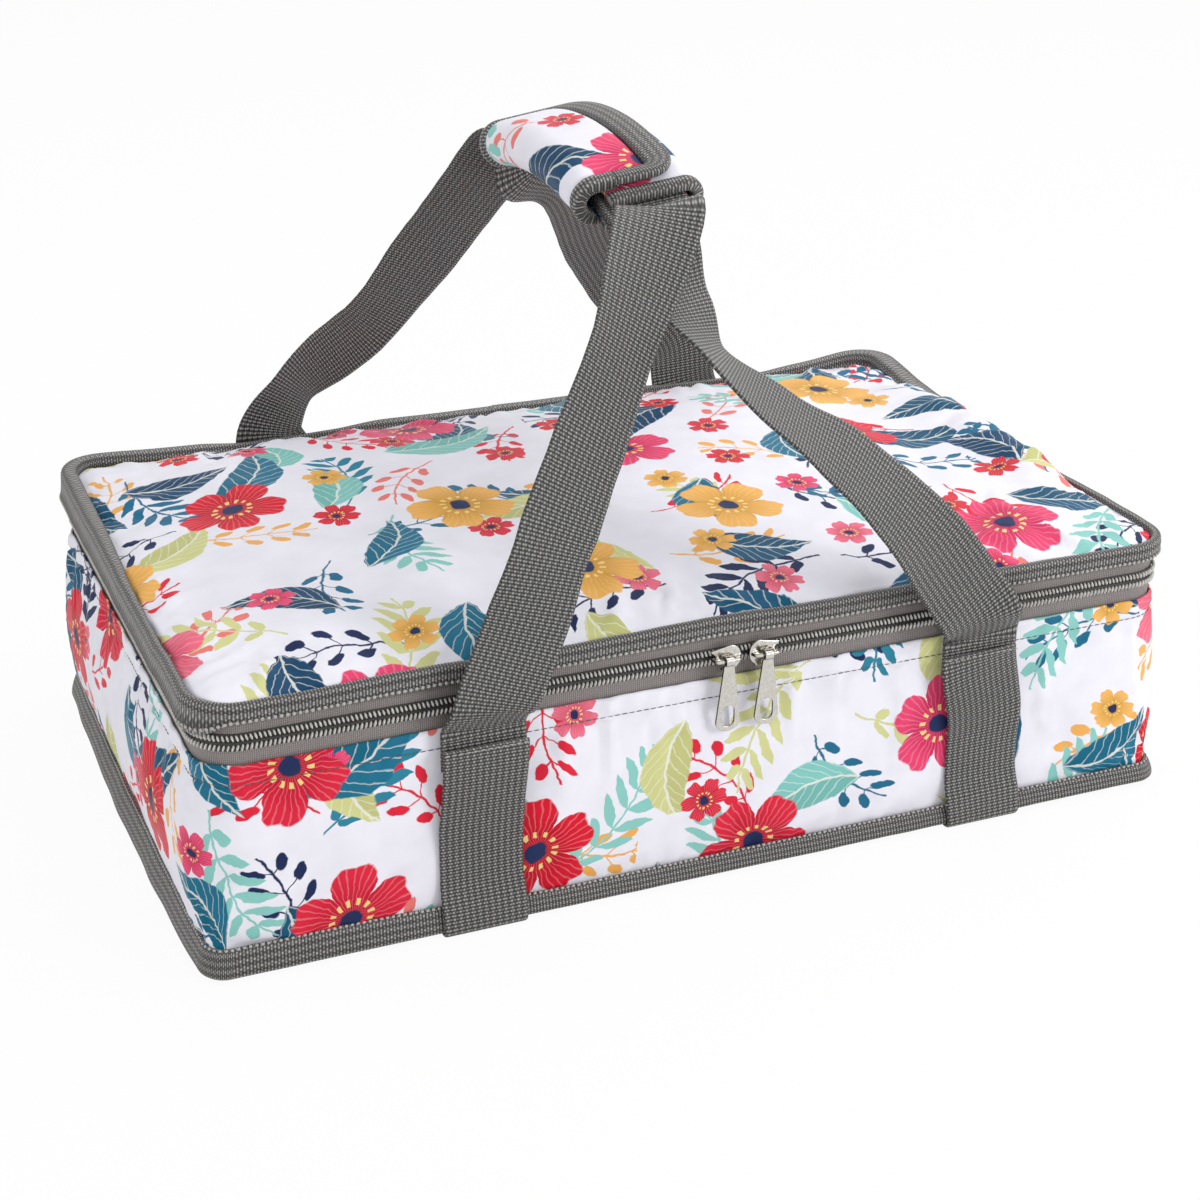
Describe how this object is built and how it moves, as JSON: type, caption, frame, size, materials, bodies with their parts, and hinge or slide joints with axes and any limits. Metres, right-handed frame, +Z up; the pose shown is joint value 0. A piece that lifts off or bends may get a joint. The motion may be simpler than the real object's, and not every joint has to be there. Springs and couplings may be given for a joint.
{
  "type": "insulated casserole carrier",
  "caption": "Soft rectangular food carrier with a zipped, back-hinged padded lid and webbing loop handles held together by a padded hook-and-loop grip wrap.",
  "frame": {"origin": "on the floor below the middle of the carrier's overall box", "axes": "+Z up, +X along the carrier's length to its right end, front with the zip pulls towards -Y"},
  "size_m": [0.418, 0.2931, 0.2819],
  "materials": {
    "printed_fabric": "satin printed polyester",
    "webbing": "woven, matt",
    "binding": "ribbed, matt",
    "zip_tape": "woven, matt",
    "zip_coil": "satin",
    "nickel": "polished",
    "foil_lining": "metallised film",
    "foam": "foam",
    "board": "matt",
    "hook_and_loop": "napped"
  },
  "bodies": {
    "bag": {"base_cover": "printed_fabric", "base_board": "board", "base_foam": "foam", "base_lining": "foil_lining", "side_cover": "printed_fabric", "front_foam": "foam", "right_foam": "foam", "back_foam": "foam", "left_foam": "foam", "side_lining": "foil_lining", "bottom_binding": "binding", "lower_zip_tape": "zip_tape", "lower_zip_coil": "zip_coil", "back_hinge_strip": "printed_fabric", "left_base_strap": "webbing", "right_base_strap": "webbing"},
    "lid": {"lid_binding": "binding", "lid_lining": "foil_lining", "lid_foam": "foam", "lid_cover": "printed_fabric", "upper_zip_tape": "zip_tape", "upper_zip_coil": "zip_coil"},
    "left_handle": {"left_handle_strap": "webbing"},
    "right_handle": {"right_handle_strap": "webbing", "grip_pad": "printed_fabric", "grip_pad_front_binding": "binding", "grip_pad_back_binding": "binding", "loop_patch": "hook_and_loop"},
    "grip_flap": {"grip_flap": "printed_fabric", "grip_flap_binding": "binding", "hook_patch": "hook_and_loop"},
    "left_slider": {"left_slider": "nickel"},
    "right_slider": {"right_slider": "nickel"},
    "left_pull": {"left_pull": "nickel"},
    "right_pull": {"right_pull": "nickel"}
  },
  "joints": [
    {"name": "lid_hinge", "type": "hinge", "parent": "bag", "child": "lid", "pos_m": [0, 0.129, 0.10535], "axis": [-1, 0, 0], "range_deg": [0, 110], "deforming": ["left_handle_strap", "right_handle_strap", "grip_pad", "grip_pad_front_binding", "grip_pad_back_binding", "grip_flap", "grip_flap_binding", "loop_patch", "hook_patch"]},
    {"name": "left_handle_swing", "type": "hinge", "parent": "bag", "child": "left_handle", "pos_m": [-0.0975, 0, 0.08], "axis": [0, -1, 0], "range_deg": [0, 128]},
    {"name": "right_handle_swing", "type": "hinge", "parent": "bag", "child": "right_handle", "pos_m": [0.1155, 0, 0.08], "axis": [0, 1, 0], "range_deg": [0, 132]},
    {"name": "grip_flap_open", "type": "hinge", "parent": "right_handle", "child": "grip_flap", "pos_m": [-0.02, -0.007, 0.2503], "axis": [0, -1, 0], "range_deg": [0, 100]},
    {"name": "left_slider_slide", "type": "slide", "parent": "bag", "child": "left_slider", "axis": [-1, 0, 0], "range_m": [0, 0.05]},
    {"name": "right_slider_slide", "type": "slide", "parent": "bag", "child": "right_slider", "axis": [1, 0, 0], "range_m": [0, 0.036]},
    {"name": "left_pull_swing", "type": "hinge", "parent": "left_slider", "child": "left_pull", "pos_m": [0.002, -0.1335, 0.0972], "axis": [-1, 0, 0], "range_deg": [0, 165]},
    {"name": "right_pull_swing", "type": "hinge", "parent": "right_slider", "child": "right_pull", "pos_m": [0.0186, -0.1335, 0.0972], "axis": [-1, 0, 0], "range_deg": [0, 165]}
  ],
  "couplings": [
    {"joint": "left_handle_swing", "follows": "lid_hinge", "ratio": 1.16},
    {"joint": "right_handle_swing", "follows": "lid_hinge", "ratio": 1.2}
  ]
}
